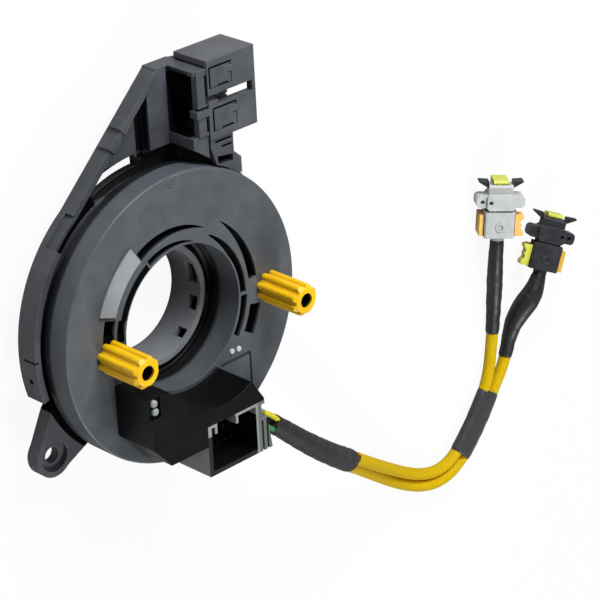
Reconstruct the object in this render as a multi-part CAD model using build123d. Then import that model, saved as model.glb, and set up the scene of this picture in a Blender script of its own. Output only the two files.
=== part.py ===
from build123d import *
import os
from math import atan2, cos, degrees, hypot, pi, radians, sin, tan

# Steering clock spring: a fixed rear shell and a front rotor joined by a ribbon coil.
# The bore axis is Z. The rear spigot stands on Z = 0 and the front face looks up.
# The arm with the vehicle sockets points to +Y and the switch socket to -Y.

# Heights along the bore axis
plate_z = 8.0            # underside of the shell plate
plate_t = 2.5            # thickness of the shell plate
face_z = 26.5            # front face of the rotor
face_t = 2.2             # thickness of the rotor's face
turn_gap = 0.4           # free height between turning and fixed plastic
plate_top = plate_z + plate_t

# Rotor disc
disc_r = 49.0            # outer radius of the rotor
rim_t = 1.8              # wall of the rotor's rim
rim_depth = 10.3         # height of the rim from the face
rim_round = 0.7          # rounding of the rim's front edge
bore_r = 24.3            # free bore through the rotor
hub_wall = 1.9           # wall of the hub tube
recess_r = 35.4          # outside of the slotted ring behind the face
slot_depth = 8.0         # depth of the curved slots
slot_floor = 1.5         # material under the slots

# Bearing between hub and bush
bearing_gap = 0.06       # radial running clearance
collar_r = 24.44         # bearing radius of the bush
collar_h = 12.5          # top of the bearing collar
bead_rise = 0.28         # snap bead beyond the collar
bead_h = 0.7
bush_r = 19.0            # free bore of the bush
bush_wall = 2.0
bush_len = 14.0
flange_r = 34.0
flange_t = 2.0
screw_circle = 30.5      # circle of the four bush screws
screw_r = 1.25
screw_count = 4
screw_play = 0.15        # gap between a screw and its hole

# Rear shell
shell_r = 46.0           # hidden round part of the plate
guard_r = 52.5           # outside of the guard rail beside the rotor
guard_t = 2.3
guard_top = 16.0
low_guard_top = 14.0
coil_wall_r = 45.2       # wall that encloses the ribbon
coil_wall_t = 1.7
coil_wall_top = 23.4
ear_x = -46.0            # centre of the fixing ear
ear_y = -35.9
ear_r = 7.1
ear_t = 5.0
ear_hole_r = 2.75
ear_seat_r = 5.2
ear_seat_depth = 1.5

# Arm and neck
arm_tip_x = 6.6          # upper end of the arm's sloping edge
arm_tip_y = 78.9
arm_foot_angle = 126.5   # where the sloping edge leaves the guard radius
arm_rib_t = 2.2
arm_rib_top = 14.0
arm_right_x = 26.0
neck_gap = 0.6           # gap between the neck and the rotor's rim
neck_top = 26.1
neck_right = 29.2        # right side of the neck
shoulder_y = 45.7        # top of the neck's shoulder
shoulder_w = 3.0         # how far the shoulder stands out

# Vehicle socket box
box_x = 16.4             # rear face of the box
box_y = 55.0             # lower side of the box
box_z = 11.5             # underside of the box
box_l = 20.2             # length along X
box_w = 26.3             # width along Y
box_h = 15.0             # height along Z
cavity_l = 13.6          # depth of each socket
cavity_w = 9.1
cavity_h = 10.8
cavity_side = 1.5        # wall beside each socket
window_w = 3.4           # see-through slot in the front of the lower socket
window_l = 15.0
window_end = 1.3         # material beyond the slot's end
mid_wall = 0.9           # wall between the two sockets
lock_pocket = 1.4        # depth of the lock pockets in the front face
lock_t = 1.1
blade_t = 0.8            # terminal blades
blade_l = 6.5
post_x = 11.2            # left side of the frame beside the box
post_t = 2.4             # thickness of the frame's front bar
post_low = 57.0
post_high = 78.9

# Ribbon coil
ribbon_play = 0.9        # free space inside and outside the coil
ribbon_turns = 5
ribbon_t = 0.4
ribbon_w = 12.0

# Drive pins
pin_l = 17.7
pin_r = 5.45             # over the ribs
pin_core_r = 4.35
pin_ribs = 8
pin_rib_r = 1.2
pin_hole_r = 2.5
pin_hole_depth = 9.0
pin_tip = 1.3            # chamfer at the tip
pin_foot_r = 2.4         # spigot in the rotor's face
pin_play = 0.1
pin_places = {"drive_pin_left": (-31.4, -2.0), "drive_pin_right": (37.4, -2.6)}

# Switch block and its socket
switch_top = 43.0        # front plane of block and socket
block_in_r = 25.8        # wall beside the bore
block_left = -30.5
socket_left = -7.5
socket_w = 22.0
socket_low = -49.0
socket_high = -31.0
socket_wall = 1.5
socket_floor_t = 4.5
retainer_w = 5.6         # ribbed wall that holds the wires, at its foot
retainer_taper = 2.7     # how much narrower it is at its top

# Harness
lead_r = 2.3             # braided lead of each airbag plug
lead_pitch = 4.9         # distance between the two leads side by side
wrap_r = 4.2             # tape around both leads next to the block
tape_r = 2.9             # tape around one lead near its plug
wire_r = 0.8
bend_share = 0.45        # share of a run that its bends may use

# Airbag plugs
plug_roll = 38.0         # each plug lies rolled on its side edge
plug_body_w = 11.0
plug_body_l = 10.0
plug_body_t = 7.8
plug_band_w = 18.0       # over the two ears of the band
plug_band_l = 4.5
plug_boss_w = 10.2       # middle of the band
plug_boss_l = 6.0
plug_nose_w = 9.0
plug_wing_w = 16.4
plug_l = 21.4
grip_l = 7.9
grip_narrow = 1.5
grip_wide = 3.1
grip_play = 0.3
tongue_t = 1.7
lock_plate_t = 0.9
lock_travel = 2.5

rim_low = face_z - rim_depth
slot_bottom = face_z - slot_depth
recess_low = slot_bottom - slot_floor
hub_r = bore_r + hub_wall
ribbon_in_r = recess_r + ribbon_play
ribbon_out_r = coil_wall_r - coil_wall_t - ribbon_play - ribbon_t
seat_r = collar_r + bearing_gap      # bearing surface of the hub
neck_r = disc_r + neck_gap
guard_in_r = guard_r - guard_t
box_right = box_x + box_l
box_top = box_z + box_h
box_high = box_y + box_w
socket_right = socket_left + socket_w
retainer_top_x = socket_right + retainer_w - retainer_taper


def block(x0, x1, y0, y1, z0, z1):
    """Rectangular solid between two corners."""
    return Pos((x0 + x1) / 2, (y0 + y1) / 2, (z0 + z1) / 2) * Box(x1 - x0, y1 - y0, z1 - z0)


def rise(flat, z0, z1):
    """Solid over a flat shape, from one height to another."""
    return Pos(0, 0, z0) * extrude(flat, z1 - z0, dir=(0, 0, 1))


def tube(r_out, r_in, z0, z1):
    """Hollow cylinder around the bore axis."""
    return rise(Circle(r_out) - Circle(r_in), z0, z1)


def round_bar(r, z0, z1, x=0.0, y=0.0):
    """Cylinder along Z."""
    return rise(Pos(x, y) * Circle(r), z0, z1)


def outline(points, z0, z1):
    """Straight-sided prism over a closed outline."""
    return rise(Polygon(*points, align=None), z0, z1)


def polar(r, angle):
    """Point at a radius and an angle in degrees."""
    return (r * cos(radians(angle)), r * sin(radians(angle)))


def sector(r_in, r_out, start, end):
    """Flat ring segment between two angles."""
    outer = CenterArc((0, 0), r_out, start, end - start)
    inner = CenterArc((0, 0), r_in, start, end - start)
    sides = [Line(inner @ 0, outer @ 0), Line(inner @ 1, outer @ 1)]
    return make_face([outer, inner] + sides)


def ring_part(r_in, r_out, start, end, z0, z1):
    """Solid ring segment between two angles."""
    return rise(sector(r_in, r_out, start, end), z0, z1)


def crescent(r_in, r_out, start, end, circle_r, shift, towards, keep_inside):
    """Ring segment cut by a circle that is set off from the bore."""
    flat = sector(r_in, r_out, start, end)
    off = Pos(*polar(shift, towards)) * Circle(circle_r)
    return flat & off if keep_inside else flat - off


# Rotor

def face_slots():
    """Curved slots around the bore, as they lie in the face."""
    over = 0.4           # slots that open into the bore reach past its wall
    bore_side = bore_r - over
    return [
        crescent(29.3, recess_r - 1.2, 67, 122, 26.5, 6.5, 125, True),
        crescent(bore_side, hub_r + 3, 69, 119, 20.5, 7, 118, True),
        sector(bore_side, 28.1, 162, 173),
        sector(29.4, 33.9, 162, 172),
        crescent(28.5, 32.6, 5, 58, 41, 12, 185, False),
        crescent(24.9, 27.5, -2, 62, 32.1, 8, 185, False),
        sector(29.6, 34.2, -30, -12),
        sector(25.2, 28.0, -34, -4),
    ]


def rotor_disc():
    """Front disc with its rim, slotted ring and hub tube."""
    rim = tube(disc_r, disc_r - rim_t, rim_low, face_z)
    face = tube(disc_r, bore_r, face_z - face_t, face_z)
    ring = tube(recess_r, bore_r, recess_low, face_z)
    hub_low = plate_z + 0.4
    hub = tube(hub_r, bore_r, hub_low, face_z)
    body = rim + face + ring + hub
    edge = body.edges().filter_by(GeomType.CIRCLE).group_by(Axis.Z)[-1].sort_by(SortBy.RADIUS)[-1]
    body = fillet(edge, rim_round)
    for slot in face_slots():
        body -= rise(slot, slot_bottom, face_z + 1)
    body -= round_bar(seat_r, hub_low - 1, collar_h - 0.1)
    body -= round_bar(seat_r + bead_rise + 0.07, collar_h - 0.1, collar_h + bead_h + 0.4)
    body -= round_bar(bore_r, 0, face_z + 1)
    for x, y in pin_places.values():
        body -= round_bar(pin_foot_r + pin_play, face_z - face_t - 1, face_z + 1, x, y)
    # raised arrow, two witness dots and a thin frame line beside the switch block
    arrow = Pos(-1.6, 45.4, face_z) * Rot(0, 0, 52)
    for turn in (0, 90):
        body += arrow * Rot(0, 0, turn) * Pos(1.2, 0, 0.15) * Box(2.8, 0.45, 0.3)
    for x, y in ((19.6, -19.6), (22.6, -19.8)):
        body += round_bar(0.9, face_z, face_z + 0.5, x, y)
    body += block(14.9, 27.9, -23.1, -22.7, face_z - 0.1, face_z + 0.3)
    body += block(27.5, 27.9, -35.3, -23.1, face_z - 0.1, face_z + 0.3)
    return body


def face_cap():
    """Light cover plate beside the left outer slot."""
    plate = ring_part(30.2, 36.8, 123, 160, face_z, face_z + 0.9)
    return fillet(plate.edges().group_by(Axis.Z)[-1], 0.3)


def drive_pin(x, y):
    """Ribbed yellow pin that carries the steering wheel's hub."""
    section = Circle(pin_core_r)
    rib_at = pin_r - pin_rib_r
    for turn in range(pin_ribs):
        section += Pos(*polar(rib_at, 360 / pin_ribs * (turn + 0.5))) * Circle(pin_rib_r)
    top = face_z + pin_l
    pin = rise(section, face_z, top)
    limit = round_bar(pin_r + 1, face_z, top) - round_bar(pin_r + 2, top - pin_tip, top)
    limit += Pos(0, 0, top - pin_tip / 2) * Cone(pin_r + 0.2, pin_r - pin_tip, pin_tip)
    pin = pin & limit
    pin -= round_bar(pin_hole_r, top - pin_hole_depth, top + 1)
    pin += round_bar(pin_foot_r, face_z - face_t, face_z)
    return Pos(x, y, 0) * pin


def inner_ribbon_block():
    """Plug under the slotted ring that holds the ribbon's inner end."""
    part = ring_part(29.0, recess_r - 0.6, -108, -92, recess_low - 2.0, recess_low)
    return part + ring_part(30.5, recess_r - 2, -106, -94, recess_low - 3.0, recess_low - 2.0)


# Rear shell

def arm_inward():
    """Unit direction along the arm's sloping edge and the one square to it."""
    foot = polar(guard_r, arm_foot_angle)
    run = hypot(arm_tip_x - foot[0], arm_tip_y - foot[1])
    along = ((arm_tip_x - foot[0]) / run, (arm_tip_y - foot[1]) / run)
    return foot, along, (along[1], -along[0]), run


def sloping_strip(start, end, off, width, z0, z1):
    """Strip that runs along the arm's sloping edge."""
    foot, along, square, run = arm_inward()
    corners = []
    for t, s in ((start, off), (end, off), (end, off + width), (start, off + width)):
        x = foot[0] + along[0] * t * run + square[0] * s
        y = foot[1] + along[1] * t * run + square[1] * s
        corners.append((x, y))
    return outline(corners, z0, z1)


def neck():
    """Block between the rotor's rim and the socket box."""
    shoulder_x = neck_right - shoulder_w
    points = [(neck_right, 36.0), (neck_right, shoulder_y), (shoulder_x, shoulder_y + 2.7), (shoulder_x, box_y)]
    points += [(16.6, box_y), (16.6, 52.6), polar(disc_r - 4, 62.5)]
    body = outline(points, plate_z, neck_top) - round_bar(neck_r, plate_z - 1, neck_top + 1)
    pocket = outline([(19.2, 45.9), (25.7, 45.4), (25.7, 47.8), (19.2, 48.7)], neck_top - 6, neck_top + 1)
    body -= pocket
    for low, left in ((51.0, 21.0), (53.2, 18.4)):
        body -= block(left, 25.4, low, low + 0.9, neck_top - 3.0, neck_top + 1)
    return body


def side_frame():
    """Frame beside the socket box, open to -X, with a bar across its front."""
    right = box_x - 0.1
    low = post_low - 4
    body = block(post_x + 1, right, post_low, post_high, neck_top - post_t, neck_top)
    body += block(post_x, right, post_high - 1.4, post_high, plate_z, neck_top - 0.4)
    body += outline([(post_x - 1.2, low + 0.6), (right, low - 4), (right, post_low), (post_x - 1.2, post_low)],
                    plate_z, neck_top - 0.6)
    bar = cavity_rows()[0][1] - window_w - 0.6
    body += block(post_x, right, bar - 2.4, bar, neck_top - post_t - 0.6, neck_top + 0.5)
    body -= block(post_x, right + 1, bar, bar + 0.8, neck_top - 1.4, neck_top + 1)
    body -= block(right - 0.9, right + 1, post_low + 1, bar - 2.6, neck_top - 1.6, neck_top + 1)
    body -= block(right - 0.9, right + 1, bar + 1.6, post_high - 2.0, neck_top - 1.6, neck_top + 1)
    return body - round_bar(neck_r, plate_z - 1, neck_top + 1)


def ear():
    """Fixing ear with its counterbored hole, still without the hole."""
    tangent = Polygon((-44.0, -18.0), (-45.9, -20.2), (ear_x - ear_r, ear_y + 1.2), (ear_x, ear_y),
                      (ear_x + 4.9, ear_y - 5.1), (-32.4, -36.6), (-30, -20), align=None)
    flat = tangent + Pos(ear_x, ear_y) * Circle(ear_r)
    return rise(flat, plate_z, plate_z + ear_t) - round_bar(shell_r - 0.5, plate_z - 1, plate_z + 20)


def stator_housing():
    """Rear shell with guard rail, arm, neck and fixing ear, moulded in one."""
    foot, along, square, run = arm_inward()
    plate = Circle(shell_r) + sector(shell_r - 2, guard_r, arm_foot_angle, 196)
    plate += sector(shell_r - 2, guard_r - 0.6, 35, 56)
    arm_end = (14.5, arm_tip_y)
    plate += Polygon(foot, (arm_tip_x, arm_tip_y), arm_end, (arm_right_x, arm_tip_y - 1.5), (arm_right_x, 50),
                     (neck_right, shoulder_y), (neck_right, 36.0), (0, 20), polar(shell_r - 2, arm_foot_angle + 2),
                     align=None)
    body = rise(plate, plate_z, plate_top)
    # windows in the plate behind the rim, then the rail with its split
    body -= ring_part(48.5, guard_r - 0.2, 92, 123, plate_z - 1, plate_top + 1)
    body += ring_part(guard_in_r, guard_r, 140, 196, plate_z, guard_top)
    body += ring_part(guard_in_r, guard_r - 0.9, arm_foot_angle - 1, 140, plate_z, low_guard_top)
    body += ring_part(guard_in_r, guard_r - 0.6, 35, 47, plate_z, low_guard_top)
    body -= ring_part(guard_in_r + 0.8, guard_r + 1, 179.6, 180.4, plate_top, guard_top + 1)
    body -= Rot(0, 0, 188) * Pos(guard_r, 0, 12.5) * Rot(0, 90, 0) * Cylinder(1.0, 2.2)
    # ribbon wall, arm rib with its pad, raised panel and socket seat
    body += tube(coil_wall_r, coil_wall_r - coil_wall_t, plate_z, coil_wall_top)
    body -= ring_part(coil_wall_r - coil_wall_t - 1, coil_wall_r + 1, 71.5, 80.5, plate_top, plate_top + 5.8)
    body += sloping_strip(0.0, 1.0, 0, arm_rib_t, plate_z, arm_rib_top)
    for start, end in ((0.44, 0.53), (0.575, 0.645)):
        body += sloping_strip(start, end, -0.9, arm_rib_t + 0.9, plate_z + 1, arm_rib_top + 0.6)
    body += block(arm_tip_x - 0.5, 14.5, arm_tip_y - arm_rib_t, arm_tip_y, plate_z, arm_rib_top)
    body += outline([(2.1, 53), (13.6, 53), (10.2, 77.5), (6.8, 77.5), (2.1, 70.7)], plate_z, arm_rib_top)
    body -= block(-0.9, 2.0, 50, 70.5, plate_top - 1.6, plate_top + 1)
    body += block(12.0, arm_right_x, box_y, 76, plate_z, box_z)
    body += side_frame()
    body += neck()
    body += ear()
    body -= round_bar(ear_hole_r, plate_z - 1, plate_z + ear_t + 1, ear_x, ear_y)
    body -= round_bar(ear_seat_r, plate_z + ear_t - ear_seat_depth, plate_z + ear_t + 1, ear_x, ear_y)
    # centre opening and screw bosses
    body -= round_bar(hub_r + 0.8, plate_z - 1, plate_top + 1)
    for x, y in screw_points():
        body += round_bar(3.0, plate_top, plate_top + 3, x, y)
        body -= round_bar(screw_r + screw_play, plate_z - 1, plate_top + 2.2, x, y)
    return body


def screw_points():
    """Centres of the four bush screws."""
    return [polar(screw_circle, 45 + 360 / screw_count * i) for i in range(screw_count)]


def column_bush():
    """Bush with the steering column's bore, the rotor's bearing and the screw flange."""
    tube_r = bush_r + bush_wall
    groove = collar_r - 1.5
    profile = Polygon(
        (bush_r, 0), (tube_r - 0.4, 0), (tube_r, 0.4), (tube_r, plate_z - flange_t),
        (flange_r, plate_z - flange_t), (flange_r, plate_z), (seat_r + 1.9, plate_z),
        (seat_r + 1.9, plate_z + 0.3), (collar_r, plate_z + 0.3), (collar_r, collar_h),
        (collar_r + bead_rise, collar_h + 0.15), (collar_r + bead_rise, collar_h + 0.4),
        (collar_r - 0.3, collar_h + bead_h + 0.2), (groove, collar_h + bead_h + 0.2),
        (groove, plate_z), (tube_r, plate_z), (tube_r, bush_len), (bush_r, bush_len), align=None)
    body = revolve(Plane.XZ * profile, Axis.Z)
    for x, y in screw_points():
        body -= round_bar(screw_r + screw_play, 0, plate_z + 1, x, y)
    # small windows in the spigot's wall
    for start, end in ((2, 26), (-26, -12), (-56, -46)):
        body -= ring_part(bush_r - 1, bush_r + bush_wall + 0.2, start, end, plate_z + 0.6, bush_len - 1.2)
    return body


def bush_screws():
    """Four pan-head screws under the flange."""
    low = plate_z - flange_t
    solids = []
    for x, y in screw_points():
        head = round_bar(2.6, low - 1.7, low, x, y)
        head = chamfer(head.edges().group_by(Axis.Z)[0], 0.5)
        screw = head + round_bar(screw_r, low, plate_top + 2, x, y)
        screw -= Pos(x, y, low - 1.3) * Box(3.4, 0.7, 0.9) + Pos(x, y, low - 1.3) * Box(0.7, 3.4, 0.9)
        solids.append(screw)
    return solids


def outer_ribbon_block():
    """Plug in the shell that holds the ribbon's outer end."""
    body = ring_part(ribbon_out_r + ribbon_t + 0.1, coil_wall_r + 0.7, 72, 80, plate_top, plate_top + 5.4)
    return body - ring_part(43.6, 44.4, 73.5, 78.5, plate_top + 3.4, plate_top + 6)


def ribbon_coil():
    """Flat ribbon wound in five turns, drawn as half circles about two centres."""
    pitch = (ribbon_out_r - ribbon_in_r) / ribbon_turns
    edges = []
    for extra in (0.0, ribbon_t):
        for turn in range(ribbon_turns):
            r = ribbon_in_r + pitch * turn + extra
            edges.append(CenterArc((0, 0), r, 0, 180))
            edges.append(CenterArc((pitch / 2, 0), r + pitch / 2, 180, 180))
    for r in (ribbon_in_r, ribbon_in_r + pitch * ribbon_turns):
        edges.append(Line((r, 0), (r + ribbon_t, 0)))
    band = make_face(edges)
    return Rot(0, 0, 76) * rise(band, plate_top, plate_top + ribbon_w)


# Vehicle sockets

def cavity_rows():
    """Lower and upper edge of each of the two sockets."""
    low = box_y + cavity_side
    high = box_high - cavity_side
    return [(low, high - cavity_w - mid_wall), (high - cavity_w, high)]


def vehicle_socket():
    """Box with two sockets that open to +X and a see-through slot between them."""
    body = block(box_x, box_right, box_y, box_high, box_z, box_top)
    floor = box_z + 1.6
    for low, high in cavity_rows():
        body -= block(box_right - cavity_l, box_right + 1, low, high, floor, floor + cavity_h)
    slot = (cavity_rows()[0][1] - window_w, cavity_rows()[0][1])
    window_x = box_right - window_l - window_end
    body -= block(window_x, window_x + window_l, *slot, box_top - 4, box_top + 1)
    body -= block(box_x - 1, window_x + 1, slot[0] + 1.4, slot[1], box_top - 1.6, box_top + 1)
    back = box_right - cavity_l - 1.6
    body -= block(box_x - 1, back, box_y + 1.4, box_high - 4.4, box_z - 1, box_top - 4.2)
    body -= block(box_x - 1, box_x + 2.2, box_high - 3.4, box_high - 2.0, box_z + 1, box_top - 1.2)
    for x0, x1, y0, y1 in lock_places():
        body -= block(x0 - 1.0, x1, y0, y1 + 0.9, box_top - lock_pocket, box_top + 1)
        body -= block(x0 - 1.0, x0 - 0.1, y0, y1, box_top - 3.4, box_top + 1)
    # chamfered lead-in at the two mouths
    for low, high in cavity_rows():
        rim = block(box_right - 0.6, box_right + 1, low - 0.5, high + 0.5, floor - 0.5, floor + cavity_h + 0.5)
        body -= rim
    # key rib under each mouth's roof
    for low, high in cavity_rows():
        mid = (low + high) / 2
        body += block(box_right - cavity_l, box_right - 0.6, mid - 0.7, mid + 0.7,
                      floor - 0.1, floor + 0.9)
    return body


def lock_places():
    """Footprint of the two terminal locks in the front face."""
    rows = cavity_rows()
    low = (box_x + 2.4, box_x + 11.8, rows[0][0] + 0.9, rows[0][1] - window_w - 1.9)
    return [low, (box_x + 1.6, box_x + 10.4, rows[1][0] + 1.0, rows[1][1] - 1.6)]


def socket_locks():
    """Two lock plates in the front face, each with a small wedge."""
    solids = []
    for x0, x1, y0, y1 in lock_places():
        low = box_top - lock_pocket
        plate = block(x0, x1 - 0.05, y0 + 0.05, y1, low, low + lock_t)
        wedge = Plane.XZ * Polygon((0, 0), (2.2, 0), (2.2, 0.9), align=None)
        plate += Pos(x1 - 2.4, y1 - 0.6, low + lock_t) * extrude(wedge, 1.9)
        plate -= block(x0 + 3.0, x1 - 1.4, y0 - 1, y0 + 0.8, low + 0.4, low + lock_t + 1)
        solids.append(plate)
    return solids


def vehicle_terminals():
    """Rows of square blades on the back wall of both sockets."""
    solids = []
    back = box_right - cavity_l
    for low, high in cavity_rows():
        mid_z = box_z + 1.6 + cavity_h / 2
        for row in (-2.0, 2.0):
            for step in range(4):
                y = low + (high - low) * (step + 0.5) / 4
                z = mid_z + row
                h = blade_t / 2
                solids.append(block(back, back + blade_l, y - h, y + h, z - h, z + h))
    return solids


# Switch block and socket

def switch_housing():
    """Black block on the face beside the bore, above and left of the socket."""
    start = polar(block_in_r, -151.0)
    end = polar(block_in_r, -61)
    arc = RadiusArc(start, end, -block_in_r, short_sagitta=True)
    points = [end, (retainer_top_x, socket_high + 0.8), (retainer_top_x, socket_high),
              (socket_left, socket_high), (socket_left, -46.7),
              (-14.5, -46.0), (-20.5, -41.6), (-26.0, -35.0), (block_left, -30.0), (block_left, -12.6), start]
    base = make_face([arc, Polyline(*points)])
    body = rise(base, face_z, switch_top)
    # sloping underside towards the rim
    side = Polygon((-10, face_z), (-10, switch_top), (-38, switch_top), (-38, 33.5), (-46.8, face_z), align=None)
    side = Plane.YZ * side
    body = body & (Pos(block_left - 1, 0, 0) * extrude(side, socket_right - block_left + 9, dir=(1, 0, 0)))
    # step at the upper left
    body -= block(block_left - 1, -26.4, -19.4, -10, switch_top - 1.2, switch_top + 1)
    return body


def housing_bosses():
    """Two rounded bosses at the upper left of the block."""
    solids = []
    for x, y in ((-28.4, -14.4), (-28.1, -17.3)):
        foot = round_bar(1.25, switch_top - 1.2, switch_top, x, y)
        solids.append(chamfer(foot.edges().group_by(Axis.Z)[-1], 0.5))
    return solids


def switch_socket():
    """Grey shroud of the steering wheel's plug, open to the front."""
    body = block(socket_left, socket_right, socket_low, socket_high, face_z, switch_top)
    inner = (socket_left + socket_wall, socket_right - 1.0, socket_low + socket_wall, socket_high - 1.0)
    body -= block(*inner, face_z + socket_floor_t, switch_top + 1)
    # latch window with two guide ribs at the mouth
    body -= block(socket_left + 4, socket_left + 12, socket_high - 1.5, socket_high + 1, switch_top - 5, switch_top + 1)
    for x in (socket_left + 3.0, socket_left + 12.2):
        body += block(x, x + 1.0, socket_high - 3.6, socket_high, switch_top - 9, switch_top)
    # lower edge steps back where the shroud overhangs the rim
    body -= block(socket_left - 1, socket_left + 6, socket_low - 1, socket_low + 1.6, face_z - 1, face_z + 1.0)
    return body


def switch_terminals():
    """Two rows of blades in the switch socket."""
    solids = []
    floor = face_z + socket_floor_t
    h = blade_t / 2
    for row in (-42.5, -37.5):
        for step in range(6):
            x = socket_left + socket_wall + (socket_w - 2 * socket_wall) * (step + 0.7) / 6.4
            solids.append(block(x - h, x + h, row - h, row + h, floor, floor + blade_l - 1))
    return solids


def wire_retainer():
    """Ribbed wall at the right of the socket, which holds the harness wires."""
    low = face_z + turn_gap
    foot_x = socket_right + retainer_w
    corners = [(socket_right, socket_high), (retainer_top_x, socket_high), (foot_x, socket_low), (socket_right, socket_low)]
    body = outline(corners, low, switch_top)
    for x in (socket_right + 1.3, socket_right + 3.4):
        body -= block(x, x + 0.8, socket_low - 1, socket_high - 7, switch_top - 1.0, switch_top + 1)
    body -= block(socket_right + 1.5, foot_x + 1, -37.0, socket_high - 1.2, 34.0, switch_top + 1)
    return body


# Harness

wrap_route = [(25.0, -44.2, 37.6), (33.2, -51.5, 37.0), (44.6, -61.5, 35.4), (59.5, -73.3, 31.0),
              (72.7, -83.0, 25.04)]
pair_route = [(72.7, -83.0, 25.04), (85.9, -92.7, 19.08), (104.6, -106.6, 9.8), (120.4, -117.8, 4.4),
              (131.5, -124.1, 2.8), (140.2, -126.6, 2.6), (147.5, -125.7, 2.8), (153.4, -122.0, 3.1),
              (159.1, -116.1, 3.2), (165.0, -109.1, 3.2), (170.2, -101.6, 3.1)]
pair_twist = [45, 45, 35, 20, 8, 0, 0, 0, 0, 0, 0]
branch_a = [(171.0, -92.6, 3.0), (172.3, -84.0, 3.0), (173.3, -75.4, 3.1), (173.7, -65.8, 3.4),
            (172.3, -56.5, 5.3)]
branch_b = [(178.4, -94.8, 3.0), (181.2, -87.6, 3.1), (183.1, -80.2, 3.5), (185.9, -73.2, 5.5)]
sleeve_route = pair_route[-4:]       # the part of the pair that the sleeve covers
plug_rise = sin(radians(plug_roll)) * (plug_body_w / 2 + grip_play + grip_narrow)
plug_rise += cos(radians(plug_roll)) * (plug_body_t / 2 + grip_play + lock_plate_t) + 0.05
plug_places = {"a": ((170.2, -37.3), 83.5), "b": ((194.0, -59.5), 66.5)}


def beside(route, twist, offset):
    """Route beside another one, turned about it by the twist at each of its points."""
    points = [Vector(*p) for p in route]
    runs = [(q - p).normalized() for p, q in zip(points, points[1:])]
    result = []
    for i, point in enumerate(points):
        # the first two points share a heading, so a lead leaves the wrap squarely
        before = runs[max(i - 1, 0)]
        after = runs[min(i, len(runs) - 1)] if i > 1 else before
        heading = (before + after).normalized()
        side = Vector(0, 0, 1).cross(heading).normalized()
        half = radians(before.get_angle(after)) / 2
        reach = side * cos(radians(twist[i])) * offset / cos(half)
        lift = heading.cross(side) * sin(radians(twist[i])) * offset
        result.append(tuple(point + reach + lift))
    return result


def soft_path(route, name):
    """Straight runs joined by arcs as large as the runs allow."""
    points = [Vector(*p) for p in route]
    radii = []
    for a, b, c in zip(points, points[1:], points[2:]):
        turn = radians((b - a).get_angle(c - b))
        shorter = min((b - a).length, (c - b).length)
        radii.append(bend_share * shorter / tan(turn / 2))
    line = FilletPolyline(*points, radius=radii)
    print(name, "length", round(line.length, 1), "bend radii", [round(r, 1) for r in radii])
    return line


def along(line, r_out, r_in=0.0, name=""):
    """Round tube along a path."""
    section = Plane(line @ 0, z_dir=line % 0)
    body = sweep(section * Circle(r_out), path=line)
    area = pi * r_out ** 2
    if r_in:
        body -= sweep(section * Circle(r_in), path=line)
        area -= pi * r_in ** 2
    print(name, "volume", round(body.volume, 1), "of", round(area * line.length, 1))
    return body


def plug_frame(key):
    """Frame of a plug: Y along the plug, X across it, rolled about its own axis."""
    (x, y), heading = plug_places[key]
    return Pos(x, y, plug_rise) * Rot(0, 0, heading - 90) * Rot(0, -plug_roll, 0)


def lead_end(key):
    """Last two points of a lead: straight into the plug's boot."""
    (x, y), heading = plug_places[key]
    back = 8.0
    dx, dy = polar(back, heading)
    return [(x - dx, y - dy, plug_rise), (x, y, plug_rise)]


def lead_routes():
    """Both leads from the end of the wrap to the plugs."""
    half = lead_pitch / 2
    a = beside(pair_route, pair_twist, half) + branch_a + lead_end("a")
    b = beside(pair_route, pair_twist, -half) + branch_b + lead_end("b")
    return a, b


def trunk_wrap():
    """Tape around both leads from the wires to where the yellow braid shows."""
    return along(soft_path(wrap_route, "trunk wrap"), wrap_r, name="trunk wrap")


def pigtail_wires():
    """Four thin wires between the ribbed wall and the wrap."""
    solids = []
    start = Vector(*wrap_route[0])
    heading = (Vector(*wrap_route[1]) - start).normalized()
    frame = Plane(start, z_dir=heading)
    for i, (u, v) in enumerate(((1.5, 1.5), (-1.5, 1.5), (-1.5, -1.5), (1.5, -1.5))):
        foot = frame.from_local_coords(Vector(u, v, 0))
        reach = (foot.X - socket_right - retainer_w) / heading.X
        solids.append(Plane(foot - heading * reach, z_dir=heading) * extrude(Circle(wire_r), reach))
    edge = block(socket_right + retainer_w, 60, -80, 0, 20, 60)
    return [s & edge for s in solids]


def mid_sleeve(path_a, path_b):
    """Flat sleeve that holds the two leads together before they part."""
    centre = soft_path(sleeve_route, "mid sleeve")
    section = Plane(centre @ 0, x_dir=(centre % 0).cross(Vector(0, 0, 1)), z_dir=centre % 0)
    width = lead_pitch + 2 * lead_r + 1.0
    body = sweep(section * RectangleRounded(width, 2 * lead_r + 1.0, lead_r), path=centre)
    for path in (path_a, path_b):
        body -= sweep(Plane(path @ 0, z_dir=path % 0) * Circle(lead_r + 0.05), path=path)
    return body


def tape(route, name):
    """Tape around one lead, just short of its plug."""
    return along(soft_path(route, name), tape_r, lead_r + 0.05, name)


# Plugs, drawn with Y along the plug from the lead to the nose

def plug_body():
    """Plug with its boot, body and nose, and a round mark on its face."""
    half = plug_body_w / 2
    t = plug_body_t / 2
    body = block(-half, half, 1.5, 1.5 + plug_body_l, -t, t)
    body = fillet(body.edges().filter_by(Axis.Y), 0.8)
    body += Rot(-90, 0, 0) * Cylinder(2.6, 2.5, align=(Align.CENTER, Align.CENTER, Align.MIN))
    body += block(-4.2, 4.2, plug_body_l + 1, band_start() + 1, -t + 0.5, t - 0.5)
    body += Pos(0, 1.5 + plug_body_l * 0.42, t) * (Cylinder(1.6, 0.8) - Cylinder(1.1, 3))
    half = plug_nose_w / 2
    nose = block(-half, half, band_start(), plug_l, -2.6, 2.6)
    body += chamfer(nose.edges().filter_by(Axis.X).group_by(Axis.Y)[-1], 0.6)
    return body


def band_start():
    """Where the band's ears begin along the plug."""
    return 1.5 + plug_body_l + 1.5


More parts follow.
